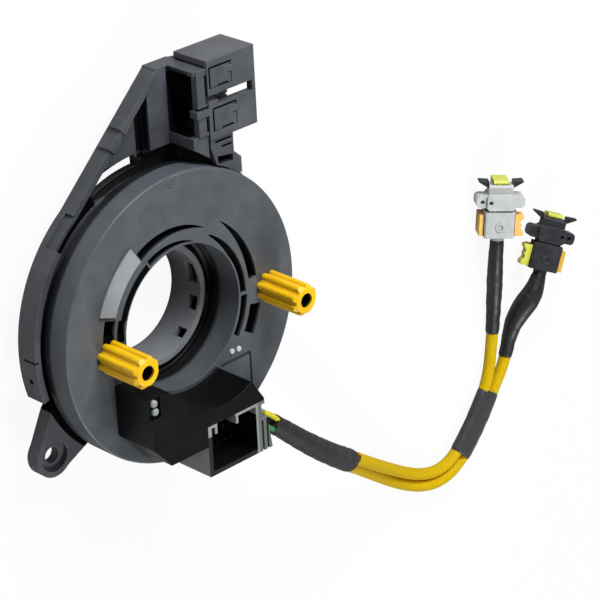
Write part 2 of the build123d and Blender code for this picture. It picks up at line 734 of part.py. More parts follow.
def plug_band():
    """Band around the plug: a square middle between two round ears, with two small holes."""
    start = band_start()
    middle = start + plug_band_l / 2
    half = plug_boss_l / 2
    boss = block(-plug_boss_w / 2, plug_boss_w / 2, middle - half, middle + half, -3.9, 4.3)
    boss = chamfer(boss.edges().filter_by(Axis.Z), 0.8)
    ears = block(-plug_band_w / 2, plug_band_w / 2, start, start + plug_band_l, -3.0, 3.0)
    ears = fillet(ears.edges().filter_by(Axis.Z), plug_band_l * 0.34)
    band = boss + ears
    play = 0.05
    inner = plug_nose_w / 2 + play
    band -= block(-inner, inner, start - 5, start + plug_band_l + 5, -2.6 - play, 2.6 + play)
    neck = plug_body_t / 2 - 0.5 + play
    band -= block(-4.2 - play, 4.2 + play, start - 5, start + 1 + play, -neck, neck)
    for x, top in ((-plug_band_w / 2 + 2.2, 3.0), (-plug_band_w / 2 + 5.2, 4.3)):
        band -= Pos(x, middle, top) * Cylinder(0.75, 2.4)
    return band


def plug_wings():
    """Two thin pointed wings on the sides of the nose."""
    root = plug_nose_w / 2
    tip = plug_wing_w / 2
    high = plug_l + tongue_t
    flat = Polygon((root, plug_l - 1.2), (root, high - 0.3), (tip, high - 0.1), (tip, high - 0.7), align=None)
    wing = rise(flat, -1.9, 1.9)
    return [wing, mirror(wing, Plane.YZ)]


def plug_lock():
    """Sliding lock: a narrow and a wide grip, a plate under the plug and a tongue before the nose."""
    inside = plug_body_w / 2 + grip_play
    low = -plug_body_t / 2 - grip_play
    start = 2.0
    end = start + grip_l
    body = block(-inside - grip_narrow, inside + grip_narrow, start, end, low - lock_plate_t, low)
    body += block(-inside - grip_narrow, -inside, start, end, low - 0.1, 2.2)
    grip = block(inside, inside + grip_wide, start, end, -2.2, 2.6)
    for y in (start + grip_l * 0.38, start + grip_l * 0.66):
        grip -= Pos(inside + grip_wide + 0.3, y, 0) * Cylinder(1.35, 20)
    body += grip + block(inside, inside + grip_narrow, start, end, low - 0.1, -2.1)
    half = plug_nose_w / 2 - 1.7
    body += block(-half, half, end - 0.2, plug_l + tongue_t, low - lock_plate_t, low)
    tongue = block(-half, half, plug_l + 0.1, plug_l + tongue_t, low - 0.1, 2.3)
    body += chamfer(tongue.edges().filter_by(Axis.X).group_by(Axis.Z)[-1], 0.6)
    return chamfer(body.edges().filter_by(Axis.Y).group_by(Axis.Z)[0], 0.3)


def build():
    """All pieces by name."""
    route_a, route_b = lead_routes()
    path_a = soft_path(route_a, "lead a")
    path_b = soft_path(route_b, "lead b")
    nodes = {
        "stator_housing": stator_housing(),
        "vehicle_socket": vehicle_socket(),
        "socket_locks": socket_locks(),
        "vehicle_terminals": vehicle_terminals(),
        "column_bush": column_bush(),
        "bush_screws": bush_screws(),
        "outer_ribbon_block": outer_ribbon_block(),
        "ribbon_coil": ribbon_coil(),
        "rotor_disc": rotor_disc(),
        "face_cap": face_cap(),
        "inner_ribbon_block": inner_ribbon_block(),
        "switch_housing": switch_housing(),
        "housing_bosses": housing_bosses(),
        "switch_socket": switch_socket(),
        "switch_terminals": switch_terminals(),
        "wire_retainer": wire_retainer(),
        "pigtail_wires": pigtail_wires(),
        "trunk_wrap": trunk_wrap(),
        "lead_a": along(path_a, lead_r, name="lead a"),
        "lead_b": along(path_b, lead_r, name="lead b"),
        "mid_sleeve": mid_sleeve(path_a, path_b),
        "tape_a": tape(route_a[-5:], "tape a"),
        "tape_b": tape(route_b[-5:], "tape b"),
    }
    for name, (x, y) in pin_places.items():
        nodes[name] = drive_pin(x, y)
    for key in plug_places:
        frame = plug_frame(key)
        nodes["plug_%s_body" % key] = frame * plug_body()
        nodes["plug_%s_wings" % key] = [frame * wing for wing in plug_wings()]
        # the second plug is keyed the other way round
        band, lock = plug_band(), plug_lock()
        if key == "b":
            band, lock = mirror(band, Plane.YZ), mirror(lock, Plane.YZ)
        nodes["plug_%s_band" % key] = frame * band
        nodes["plug_%s_lock" % key] = frame * lock
    return nodes


os.makedirs("parts", exist_ok=True)
for node, shape in build().items():
    if isinstance(shape, list):
        shape = Compound(shape)
    export_step(shape, "parts/%s.step" % node)
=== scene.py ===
import bpy
import bmesh
import math
from mathutils import Matrix, Vector, noise


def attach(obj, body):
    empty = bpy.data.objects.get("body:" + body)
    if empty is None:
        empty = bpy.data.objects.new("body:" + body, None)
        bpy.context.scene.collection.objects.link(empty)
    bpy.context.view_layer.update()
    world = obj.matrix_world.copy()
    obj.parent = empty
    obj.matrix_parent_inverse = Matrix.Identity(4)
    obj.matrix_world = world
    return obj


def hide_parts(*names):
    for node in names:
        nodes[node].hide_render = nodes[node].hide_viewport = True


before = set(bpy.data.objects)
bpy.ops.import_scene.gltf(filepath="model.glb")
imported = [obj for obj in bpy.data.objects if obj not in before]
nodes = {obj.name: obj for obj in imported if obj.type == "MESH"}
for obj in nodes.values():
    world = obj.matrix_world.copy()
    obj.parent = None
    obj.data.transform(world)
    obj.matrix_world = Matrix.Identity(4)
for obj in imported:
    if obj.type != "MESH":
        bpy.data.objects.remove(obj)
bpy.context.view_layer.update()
mm = 0.001
print("frame loaded,", len(nodes), "nodes")


# colours are written as sRGB hex and turned to linear here
def linear(hexColour):
    parts = [int(hexColour[i:i + 2], 16) / 255 for i in (1, 3, 5)]
    return [c / 12.92 if c <= 0.04045 else ((c + 0.055) / 1.055) ** 2.4 for c in parts] + [1.0]


# one node with its settings; an input is a value or another node's socket to link from
def addNode(material, kind, inputs=None, **settings):
    node = material.node_tree.nodes.new(kind)
    for name, value in settings.items():
        setattr(node, name, value)
    for name, value in (inputs or {}).items():
        if isinstance(value, bpy.types.NodeSocket):
            material.node_tree.links.new(value, node.inputs[name])
        else:
            node.inputs[name].default_value = value
    return node


def freshMaterial(name):
    material = bpy.data.materials.new(name)
    material.use_nodes = True
    material.node_tree.nodes.clear()
    return material


def finishMaterial(material, inputs):
    surface = addNode(material, "ShaderNodeBsdfPrincipled", inputs)
    addNode(material, "ShaderNodeOutputMaterial", {"Surface": surface.outputs[0]})
    return material


# a pattern's low values in the dark colour, its high ones in the light colour
def twoTone(material, factor, dark, light, low=0.3, high=0.7):
    ramp = addNode(material, "ShaderNodeValToRGB", {0: factor})
    ends = ramp.color_ramp.elements
    ends[0].position, ends[0].color = low, linear(dark)
    ends[1].position, ends[1].color = high, linear(light)
    return ramp.outputs[0]


# how far a point lies inside a region of painted shade or of another colour: in a ring or a sector of a ring
# about an upright axis, or in a box, which may be turned as a plug is, fading in below the region's mouth; a
# centre without a height lies at zero
def insideHollow(material, place, hollow):
    centre = ([c * mm for c in hollow["centre"]] + [0.0])[:3]
    offset = addNode(material, "ShaderNodeVectorMath", {0: place, 1: centre}, operation="SUBTRACT")
    for axis, angle in hollow.get("turns", []):
        offset = addNode(material, "ShaderNodeVectorRotate", {"Vector": offset.outputs[0], "Angle": angle},
                         rotation_type=axis)
    parts = addNode(material, "ShaderNodeSeparateXYZ", {0: offset.outputs[0]})
    if "ring" in hollow:
        level = addNode(material, "ShaderNodeVectorMath", {0: offset.outputs[0], 1: (1, 1, 0)},
                        operation="MULTIPLY")
        away = addNode(material, "ShaderNodeVectorMath", {0: level.outputs[0]}, operation="LENGTH")
        tests = [addNode(material, "ShaderNodeMath", {0: away.outputs["Value"], 1: radius * mm},
                         operation=side)
                 for radius, side in zip(hollow["ring"], ("GREATER_THAN", "LESS_THAN"))]
    else:
        tests = [addNode(material, "ShaderNodeMath", {0: parts.outputs[axis], 1: 0.0, 2: half * mm},
                         operation="COMPARE")
                 for axis, half in zip("XY", hollow["half"])]
    if "sector" in hollow:
        start, end = [math.radians(angle) for angle in hollow["sector"]]
        bearing = addNode(material, "ShaderNodeMath", {0: parts.outputs["Y"], 1: parts.outputs["X"]},
                          operation="ARCTAN2")
        tests.append(addNode(material, "ShaderNodeMath",
                             {0: bearing.outputs[0], 1: (start + end) / 2, 2: (end - start) / 2},
                             operation="COMPARE"))
    tests.append(addNode(material, "ShaderNodeMapRange",
                         {"Value": parts.outputs["Z"], "From Min": hollow["mouth"] * mm,
                          "From Max": (hollow["mouth"] - hollow["soft"]) * mm}))
    share = tests[0].outputs[0]
    for test in tests[1:]:
        share = addNode(material, "ShaderNodeMath", {0: share, 1: test.outputs[0]},
                        operation="MULTIPLY").outputs[0]
    return share


# what the skins of all mouldings share: where the clouds and the rubbed edges start and end, how the painted
# shade of a hollow grows, how far the gloss wanders and how deep the grain is
skin = {"cloudLow": 0.32, "cloudHigh": 0.68, "edgeFlat": 0.99, "edgeSharp": 0.86, "shadeFull": 0.15,
        "shadeNone": 0.7, "glossLow": 0.3, "glossHigh": 0.7, "smoother": 0.05, "rougher": 0.07,
        "grainDeepMm": 0.05}


# moulded plastic: a satin skin with a fine spark-eroded grain, cloudy flow marks
# and edges that shine a little where handling has rubbed them; painted shade darkens its deep hollows and
# its listed shade regions, and listed spots take another colour
def mouldedPlastic(name, look):
    material = freshMaterial(name)
    place = addNode(material, "ShaderNodeTexCoord").outputs["Object"]
    cloud = addNode(material, "ShaderNodeTexNoise",
                    {"Vector": place, "Scale": 1 / (look["cloudMm"] * mm), "Detail": 5.0,
                     "Roughness": 0.6})
    grain = addNode(material, "ShaderNodeTexNoise",
                    {"Vector": place, "Scale": 1 / (look["grainMm"] * mm), "Detail": 2.0})
    tone = twoTone(material, cloud.outputs[0], look["dark"], look["light"], skin["cloudLow"],
                   skin["cloudHigh"])
    soft = addNode(material, "ShaderNodeBevel", {"Radius": look["edgeMm"] * mm}, samples=4)
    flat = addNode(material, "ShaderNodeNewGeometry")
    facing = addNode(material, "ShaderNodeVectorMath",
                     {0: soft.outputs[0], 1: flat.outputs["Normal"]}, operation="DOT_PRODUCT")
    rubbed = addNode(material, "ShaderNodeMapRange",
                     {"Value": facing.outputs["Value"], "From Min": skin["edgeFlat"],
                      "From Max": skin["edgeSharp"], "To Max": look["wear"]})
    colour = addNode(material, "ShaderNodeMix",
                     {0: rubbed.outputs[0], 6: tone, 7: linear(look["rubbed"])}, data_type="RGBA")
    # painted shade: deep slots and pockets hold less light, so their colour is painted darker by how closely
    # the part closes round them
    hollow = addNode(material, "ShaderNodeAmbientOcclusion", {"Distance": look["shadeReachMm"] * mm}, samples=8)
    depth = addNode(material, "ShaderNodeMapRange",
                    {"Value": hollow.outputs["AO"], "From Min": skin["shadeFull"],
                     "From Max": skin["shadeNone"], "To Min": look["depth"], "To Max": 1.0})
    colour = addNode(material, "ShaderNodeMix", {0: 1.0, 6: colour.outputs[2], 7: depth.outputs[0]},
                     data_type="RGBA", blend_type="MULTIPLY")
    # a painted shade region that has a sector, on a slot or gap, is matt as well as dark, so that no light
    # plays on it
    glint = look["specular"]
    # painted shade in the listed shade regions, and spots of another colour where a look lists them
    for region in look["hollows"]:
        inside = insideHollow(material, place, region)
        colour = addNode(material, "ShaderNodeMix",
                         {0: inside, 6: colour.outputs[2], 7: linear(region["inside"])}, data_type="RGBA")
        if "sector" in region:
            glint = addNode(material, "ShaderNodeMix", {0: inside, 2: glint, 3: 0.0}).outputs[0]
    shine = addNode(material, "ShaderNodeMapRange",
                    {"Value": cloud.outputs[0], "From Min": skin["glossLow"], "From Max": skin["glossHigh"],
                     "To Min": look["roughness"] - skin["smoother"],
                     "To Max": look["roughness"] + skin["rougher"]})
    relief = addNode(material, "ShaderNodeBump",
                     {"Height": grain.outputs[0], "Strength": look["grain"],
                      "Distance": skin["grainDeepMm"] * mm, "Normal": soft.outputs[0]})
    return finishMaterial(material, {"Base Color": colour.outputs[2], "Roughness": shine.outputs[0],
                                     "IOR": look["ior"], "Specular IOR Level": glint,
                                     "Normal": relief.outputs[0]})


# tinned or plated metal with fine drawn lines
def platedMetal(name, look):
    material = freshMaterial(name)
    place = addNode(material, "ShaderNodeTexCoord").outputs["Object"]
    lines = addNode(material, "ShaderNodeMapping", {"Vector": place, "Scale": look["drawn"]})
    streak = addNode(material, "ShaderNodeTexNoise",
                     {"Vector": lines.outputs[0], "Scale": 1 / (look["lineMm"] * mm), "Detail": 3.0})
    tone = twoTone(material, streak.outputs[0], look["dark"], look["light"])
    relief = addNode(material, "ShaderNodeBump",
                     {"Height": streak.outputs[0], "Strength": look["relief"],
                      "Distance": look["deepMm"] * mm})
    return finishMaterial(material, {"Base Color": tone, "Metallic": 1.0, "Roughness": look["roughness"],
                                     "Normal": relief.outputs[0]})


# braided polyester sleeve: painted shade on the weave, each strand bright on its crown and painted dark where
# it dives
def braidedSleeve(name, look):
    material = freshMaterial(name)
    place = addNode(material, "ShaderNodeTexCoord").outputs["Object"]
    weave = addNode(material, "ShaderNodeAttribute", attribute_name="weave")
    thread = addNode(material, "ShaderNodeTexNoise",
                     {"Vector": place, "Scale": 1 / (look["threadMm"] * mm), "Detail": 3.0})
    strand = twoTone(material, weave.outputs["Fac"], look["gap"], look["crown"], look["gapAt"],
                     look["crownAt"])
    dust = twoTone(material, thread.outputs[0], look["threadDark"], "#ffffff", look["dustLow"],
                   look["dustHigh"])
    colour = addNode(material, "ShaderNodeMix", {0: look["dustShare"], 6: strand, 7: dust},
                     data_type="RGBA", blend_type="MULTIPLY")
    relief = addNode(material, "ShaderNodeBump",
                     {"Height": thread.outputs[0], "Strength": look["relief"],
                      "Distance": look["deepMm"] * mm})
    return finishMaterial(material, {"Base Color": colour.outputs[2], "Roughness": look["roughness"],
                                     "IOR": 1.5, "Specular IOR Level": look["specular"],
                                     "Normal": relief.outputs[0]})


# cloth or vinyl harness tape: matt with a fine weave, its overlap edges a shade lighter
def harnessTape(name, look):
    material = freshMaterial(name)
    place = addNode(material, "ShaderNodeTexCoord").outputs["Object"]
    edge = addNode(material, "ShaderNodeAttribute", attribute_name="weave")
    cloth = addNode(material, "ShaderNodeTexNoise",
                    {"Vector": place, "Scale": 1 / (look["threadMm"] * mm), "Detail": 3.0})
    base = twoTone(material, cloth.outputs[0], look["dark"], look["light"])
    colour = addNode(material, "ShaderNodeMix",
                     {0: edge.outputs["Fac"], 6: base, 7: linear(look["edge"])}, data_type="RGBA")
    relief = addNode(material, "ShaderNodeBump",
                     {"Height": cloth.outputs[0], "Strength": look["relief"],
                      "Distance": look["deepMm"] * mm})
    return finishMaterial(material, {"Base Color": colour.outputs[2], "Roughness": look["roughness"],
                                     "IOR": 1.5, "Sheen Weight": look["sheen"],
                                     "Normal": relief.outputs[0]})


# laminated ribbon: clear film over flat copper tracks that run along it
def ribbonFilm(name, look):
    material = freshMaterial(name)
    place = addNode(material, "ShaderNodeTexCoord").outputs["Object"]
    height = addNode(material, "ShaderNodeSeparateXYZ", {0: place})
    track = addNode(material, "ShaderNodeMath", {0: height.outputs["Z"], 1: look["trackMm"] * mm},
                    operation="PINGPONG")
    share = addNode(material, "ShaderNodeMath", {0: track.outputs[0], 1: look["trackMm"] * mm},
                    operation="DIVIDE")
    colour = twoTone(material, share.outputs[0], look["film"], look["copper"], look["filmTo"],
                     look["copperFrom"])
    return finishMaterial(material, {"Base Color": colour, "Roughness": look["roughness"], "IOR": 1.6,
                                     "Coat Weight": look["coat"], "Coat Roughness": 0.1})


# places of the two plugs: axis start in millimetres and heading in degrees
plugPlaces = {"A": ((170.2, -37.3), 83.5), "B": ((194.0, -59.5), 66.5)}
# both are rolled about their axis and rest on an edge, a hair above the floor
plugRoll = math.radians(38)
plugEdge = {"outMm": 7.3, "downMm": 5.1, "clearMm": 0.05}
plugRise = (math.sin(plugRoll) * plugEdge["outMm"] + math.cos(plugRoll) * plugEdge["downMm"]
            + plugEdge["clearMm"])


# centre and turns of a region given in a plug's own frame, with Y along the plug
def plugRegion(key, point):
    (x, y), heading = plugPlaces[key]
    turn = math.radians(heading - 90)
    spot = Matrix.Rotation(turn, 3, "Z") @ Matrix.Rotation(-plugRoll, 3, "Y") @ Vector(point)
    return {"centre": (x + spot.x, y + spot.y, plugRise + spot.z),
            "turns": [("Z_AXIS", -turn), ("Y_AXIS", plugRoll)], "mouth": 40.0, "soft": 0.1}


# plug A's tongue and plug B's narrow grip have a colour of their own on their locks
tongueSpot = dict(plugRegion("A", (0, 23.2, 0)), half=(4.0, 3.2), inside="#cfd456")
gripSpot = dict(plugRegion("B", (6.7, 6.0, 0)), half=(1.05, 6.0), inside="#e0b03a")

# painted shade in the hollows of each piece, and spots of another colour, in the part's own millimetres
onAxis = {"centre": (0, 0)}
# painted shade inside the disc's slots, in the hub-to-bush groove, low in the bore and at the rim's foot
slotHollow = dict(onAxis, ring=(24.5, 47.0), mouth=26.0, soft=0.8, inside="#060708")
grooveHollow = dict(onAxis, ring=(21.05, 26.0), mouth=14.2, soft=0.3, inside="#050506")
hubHollow = dict(onAxis, ring=(24.0, 24.45), mouth=18.4, soft=1.6, inside="#08090b")
rimHollow = dict(onAxis, ring=(48.0, 49.4), mouth=19.6, soft=1.0, inside="#0d0f12")
# painted shade in the gap between the guard and the disc's rim, on the housing
gapHollows = [dict(onAxis, ring=(45.3, 50.3), sector=sector, mouth=15.9, soft=0.3, inside="#0b0c0e")
              for sector in ((115.0, 180.0), (-180.0, -130.0))]
# painted shade inside the holes of the two drive pins
pinHollows = [{"centre": centre, "ring": (-1.0, 2.6), "mouth": 44.1, "soft": 0.9, "inside": "#0d0902"}
              for centre in ((-31.4, -2.0), (37.4, -2.6))]
# painted shade inside the switch socket's shroud
shroudHollows = [{"centre": (3.75, middleY), "half": (9.85, halfY), "mouth": mouth, "soft": soft,
                  "inside": "#030304"}
                 for middleY, halfY, mouth, soft in ((-41.2, 6.5, 43.2, 0.3), (-33.3, 1.5, 34.5, 1.0))]
# painted shade in the recess at the left side of the vehicle socket's box
nookHollow = {"centre": (16.0, 67.65), "half": (5.6, 10.8), "mouth": 23.5, "soft": 0.5, "inside": "#050608"}
# painted shade in the arm's upright groove and on the plate below its panel
armHollows = [{"centre": (0.65, 61.5), "half": (1.6, 9.4), "mouth": 13.4, "soft": 0.4, "inside": "#0a0b0d"},
              {"centre": (-2.5, 46.8), "half": (18.5, 4.4), "mouth": 12.4, "soft": 1.2, "inside": "#0b0c0e"}]

# painted shade on the shroud's front edge, turned upside down because it lies above its border and not below
# it
shroudEdge = {"centre": (2.85, -42.0), "turns": [("X_AXIS", math.pi)], "half": (10.55, 7.2), "mouth": -42.7,
              "soft": 0.1, "inside": "#191b1c"}

# marks on the disc's face: painted shade where slots are that the disc's shape lacks, two light dots and two
# lines
faceMark = dict(onAxis, mouth=28.0, soft=0.1)
slotSpots = [dict(faceMark, ring=ring, sector=sector, inside="#0a0b0d")
             for ring, sector in (((24.7, 27.1), (120.5, 162.0)), ((25.0, 28.1), (172.5, 178.0)),
                                  ((29.4, 33.9), (171.5, 178.0)))]
discSpots = [dict(faceMark, centre=centre, ring=(-1.0, 0.95), inside="#c3c6c8")
             for centre in ((19.6, -19.6), (22.6, -19.8))]
discLines = [dict(faceMark, centre=centre, half=half, inside="#1d2023")
             for centre, half in (((21.4, -22.9), (6.5, 0.42)), ((27.7, -29.2), (0.42, 6.4)))]

shellLook = {"dark": "#3e4146", "light": "#4c4f55", "rubbed": "#7d8184", "roughness": 0.42, "ior": 1.5,
             "specular": 0.5, "cloudMm": 9.0, "grainMm": 0.35, "grain": 0.35, "edgeMm": 0.35, "wear": 0.35,
             "shadeReachMm": 5.0, "depth": 0.35, "hollows": [nookHollow] + armHollows + gapHollows}
rotorLook = dict(shellLook, dark="#4a4f55", light="#54595f", cloudMm=7.0, grain=0.5, roughness=0.45,
                 hollows=[slotHollow, rimHollow, hubHollow] + slotSpots + discSpots + discLines)
blockLook = dict(shellLook, dark="#060708", light="#0b0c0e", rubbed="#2c2e31", roughness=0.34, wear=0.2,
                 specular=0.25, hollows=[])
greyLook = dict(shellLook, dark="#43464a", light="#53565b", roughness=0.4, hollows=[nookHollow])
bushLook = dict(greyLook, dark="#74777c", light="#84878c", hollows=[grooveHollow])
socketLook = dict(greyLook, dark="#868a89", light="#979b9a", hollows=shroudHollows + [shroudEdge])
capLook = dict(shellLook, dark="#8b9093", light="#9da2a5", rubbed="#c0c4c6", roughness=0.4, hollows=[])
retainerLook = dict(capLook, dark="#5b625e", light="#6d7470", rubbed="#8d9490", roughness=0.45)
paleLook = dict(capLook, dark="#a9adae", light="#bcc0c1", rubbed="#d5d7d8", roughness=0.45)
pinLook = dict(capLook, dark="#f0b806", light="#fbcb0c", rubbed="#ffe052", roughness=0.36, grain=0.2,
               cloudMm=7.0, wear=0.4, shadeReachMm=3.0, depth=0.2, hollows=pinHollows)
plugALook = dict(capLook, dark="#b4b8b7", light="#c6caca", rubbed="#e8e9eb", roughness=0.4, cloudMm=4.0,
                 shadeReachMm=2.5, depth=0.4)
bandALook = dict(plugALook, dark="#bcbfc0", light="#cfd1d3", rubbed="#eceeef")
plugBLook = dict(plugALook, dark="#232429", light="#313238", rubbed="#5f6268", roughness=0.38)
wingLook = dict(plugALook, dark="#17181a", light="#232427", rubbed="#4b4e52", roughness=0.4)
lockALook = dict(plugALook, dark="#f0b850", light="#fbcf74", rubbed="#ffe6a8", hollows=[tongueSpot])
lockBLook = dict(plugALook, dark="#c4c840", light="#dbde58", rubbed="#eaec86", hollows=[gripSpot])

shellPlastic = mouldedPlastic("glass filled polyester, moulded dark grey", shellLook)
rotorPlastic = mouldedPlastic("glass filled polyester, moulded grey", rotorLook)
blockPlastic = mouldedPlastic("polyester, moulded black", blockLook)
greyPlastic = mouldedPlastic("polyester, moulded mid grey", greyLook)
capPlastic = mouldedPlastic("polyester, moulded light grey", capLook)
retainerPlastic = mouldedPlastic("polyester, moulded green grey", retainerLook)
palePlastic = mouldedPlastic("acetal, moulded pale", paleLook)
bushPlastic = mouldedPlastic("polyester, moulded satin grey", bushLook)
pinPlastic = mouldedPlastic("acetal, moulded yellow", pinLook)
socketPlastic = mouldedPlastic("polyester, moulded grey, deep shroud", socketLook)
plugAPlastic = mouldedPlastic("polyester, moulded pale grey", plugALook)
bandAPlastic = mouldedPlastic("polyester, moulded off white", bandALook)
wingPlastic = mouldedPlastic("polyester, moulded black wings", wingLook)
plugBPlastic = mouldedPlastic("polyester, moulded jet", plugBLook)
lockAPlastic = mouldedPlastic("polyester, moulded orange", lockALook)
lockBPlastic = mouldedPlastic("polyester, moulded lime", lockBLook)
brassLook = {"dark": "#a8a493", "light": "#d2cfc2", "roughness": 0.3, "lineMm": 0.5, "drawn": (0.2, 1, 1),
             "relief": 0.15, "deepMm": 0.03}
# painted shade: a dark copy of the tinned brass for the switch terminals, which sit deep in the socket
shadeLook = dict(brassLook, dark="#26241f", light="#35322c", roughness=0.45)
steelLook = dict(brassLook, dark="#9a9ea2", light="#c3c7ca", roughness=0.35, lineMm=0.6, drawn=(1, 1, 1))
tinnedBrass = platedMetal("tinned brass, stamped", brassLook)
shadedBrass = platedMetal("tinned brass, in shade", shadeLook)
zincSteel = platedMetal("zinc plated steel, rolled", steelLook)
coilFilm = ribbonFilm("polyester film over copper tracks",
                      {"film": "#c9822c", "copper": "#8d4a1a", "trackMm": 1.0, "filmTo": 0.4,
                       "copperFrom": 0.5, "roughness": 0.25, "coat": 0.4})
yellowBraid = braidedSleeve("polyester braid, woven yellow",
                            {"gap": "#6a5200", "crown": "#dcba00", "gapAt": 0.1, "crownAt": 0.6,
                             "threadMm": 0.3, "threadDark": "#c2ab4a", "dustLow": 0.25, "dustHigh": 0.6,
                             "dustShare": 0.6, "relief": 0.35, "deepMm": 0.08, "roughness": 0.62,
                             "specular": 0.15})
clothLook = {"dark": "#131314", "light": "#1d1d1f", "edge": "#29292b", "roughness": 0.68, "sheen": 0.05,
             "threadMm": 0.25, "relief": 0.3, "deepMm": 0.06}
vinylLook = dict(clothLook, dark="#131416", light="#1b1c1f", edge="#242528", roughness=0.46, threadMm=0.5)
shrunkLook = dict(clothLook, dark="#2a2a2c", light="#39393c", edge="#4f4f53", roughness=0.5, sheen=0.1,
                  threadMm=0.6)
clothTape = harnessTape("cloth tape, wound black", clothLook)
vinylTape = harnessTape("vinyl tape, wound black", vinylLook)
shrunkSleeve = harnessTape("shrunk polyolefin sleeve", shrunkLook)

nodeFinish = {
    "stator_housing": shellPlastic, "vehicle_socket": greyPlastic, "socket_locks": greyPlastic,
    "vehicle_terminals": tinnedBrass, "column_bush": bushPlastic, "bush_screws": zincSteel,
    "outer_ribbon_block": palePlastic, "ribbon_coil": coilFilm, "rotor_disc": rotorPlastic,
    "face_cap": capPlastic, "drive_pin_left": pinPlastic, "drive_pin_right": pinPlastic,
    "inner_ribbon_block": palePlastic, "switch_housing": blockPlastic, "housing_bosses": capPlastic,
    "switch_socket": socketPlastic, "switch_terminals": shadedBrass, "wire_retainer": retainerPlastic,
    "plug_a_body": plugAPlastic, "plug_a_band": bandAPlastic, "plug_a_wings": wingPlastic,
    "plug_a_lock": lockAPlastic, "plug_b_body": plugBPlastic, "plug_b_band": plugBPlastic,
    "plug_b_wings": wingPlastic, "plug_b_lock": lockBPlastic,
}
for name, finish in nodeFinish.items():
    nodes[name].data.materials.clear()
    nodes[name].data.materials.append(finish)
print("materials on", len(nodeFinish), "nodes")


# thin walls that close two of the disc's slots towards the bore
wallLook = {"spans": [(69, 119), (162, 173)], "innerMm": 24.31, "outerMm": 25.0, "lowMm": 18.5,
            "highMm": 26.49, "stepDegrees": 2}
wallCorners = [(wallLook[r] * mm, wallLook[z] * mm) for r, z in
               (("innerMm", "lowMm"), ("outerMm", "lowMm"), ("outerMm", "highMm"), ("innerMm", "highMm"))]
wallShape = bmesh.new()
for start, end in wallLook["spans"]:
    count = math.ceil((end - start) / wallLook["stepDegrees"])
    rings = []
    for i in range(count + 1):
        angle = math.radians(start + (end - start) * i / count)
        rings.append([wallShape.verts.new((r * math.cos(angle), r * math.sin(angle), z))
                      for r, z in wallCorners])
    for here, there in zip(rings, rings[1:]):
        for k in range(4):
            wallShape.faces.new((here[k], here[k - 1], there[k - 1], there[k]))
    wallShape.faces.new(rings[0])
    wallShape.faces.new(rings[-1])
bmesh.ops.recalc_face_normals(wallShape, faces=wallShape.faces)
wallMesh = bpy.data.meshes.new("slotWalls")
wallShape.to_mesh(wallMesh)
wallShape.free()
wallMesh.materials.append(rotorPlastic)
slotWalls = bpy.data.objects.new("slotWalls", wallMesh)
bpy.context.scene.collection.objects.link(slotWalls)
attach(slotWalls, "rotor")
print("slot walls done")


# harness routes are in millimetres, with the same points as the part's, and Blender takes metres
def inMetres(points):
    return [tuple(c * mm for c in p) for p in points]


wrapRoute = [(25.0, -44.2, 37.6), (33.2, -51.5, 37.0), (44.6, -61.5, 35.4), (59.5, -73.3, 31.0),
             (72.7, -83.0, 25.04)]
pairRoute = [(72.7, -83.0, 25.04), (85.9, -92.7, 19.08), (104.6, -106.6, 9.8), (120.4, -117.8, 4.4),
             (131.5, -124.1, 2.8), (140.2, -126.6, 2.6), (147.5, -125.7, 2.8), (153.4, -122.0, 3.1),
             (159.1, -116.1, 3.2), (165.0, -109.1, 3.2), (170.2, -101.6, 3.1)]
pairTwist = [45, 45, 35, 20, 8, 0, 0, 0, 0, 0, 0]
branchRoutes = {
    "A": [(171.0, -92.6, 3.0), (172.3, -84.0, 3.0), (173.3, -75.4, 3.1), (173.7, -65.8, 3.4),
          (172.3, -56.5, 5.3)],
    "B": [(178.4, -94.8, 3.0), (181.2, -87.6, 3.1), (183.1, -80.2, 3.5), (185.9, -73.2, 5.5)],
}
# distance between the two leads, and how far each runs straight before its plug
leadPitch = 4.9
straightRun = 8


# the route beside another one, turned about it by a twist at each of its points; the first two points
# share a heading, so that a lead leaves the wrap squarely
def besideRoute(route, twist, offset):
    points = [Vector(p) for p in route]
    runs = [(q - p).normalized() for p, q in zip(points, points[1:])]
    result = []
    for i, point in enumerate(points):
        before = runs[max(i - 1, 0)]
        after = runs[min(i, len(runs) - 1)] if i > 1 else before
        heading = (before + after).normalized()
        side = Vector((0, 0, 1)).cross(heading).normalized()
        half = before.angle(after) / 2
        reach = side * math.cos(math.radians(twist[i])) * offset / math.cos(half)
        lift = heading.cross(side) * math.sin(math.radians(twist[i])) * offset
        result.append(tuple(point + reach + lift))
    return result


# a whole lead: beside the other one, then its own branch, and straight into its plug
def leadRoute(key, side):
    (x, y), heading = plugPlaces[key]
    angle = math.radians(heading)
    back = (x - straightRun * math.cos(angle), y - straightRun * math.sin(angle), plugRise)
    paired = besideRoute(pairRoute, pairTwist, side * leadPitch / 2)
    return paired + branchRoutes[key] + [back, (x, y, plugRise)]


def routeCurve(name, points):
    data = bpy.data.curves.new(name, "CURVE")
    data.dimensions = "3D"
    spline = data.splines.new("NURBS")
    spline.points.add(len(points) - 1)
    for point, place in zip(spline.points, points):
        point.co = (*place, 1)
    spline.order_u = 3
    spline.use_endpoint_u = True
    route = bpy.data.objects.new(name, data)
    bpy.context.scene.collection.objects.link(route)
    return route


def curveMesh(route):
    bpy.context.view_layer.update()
    return bpy.data.meshes.new_from_object(route)


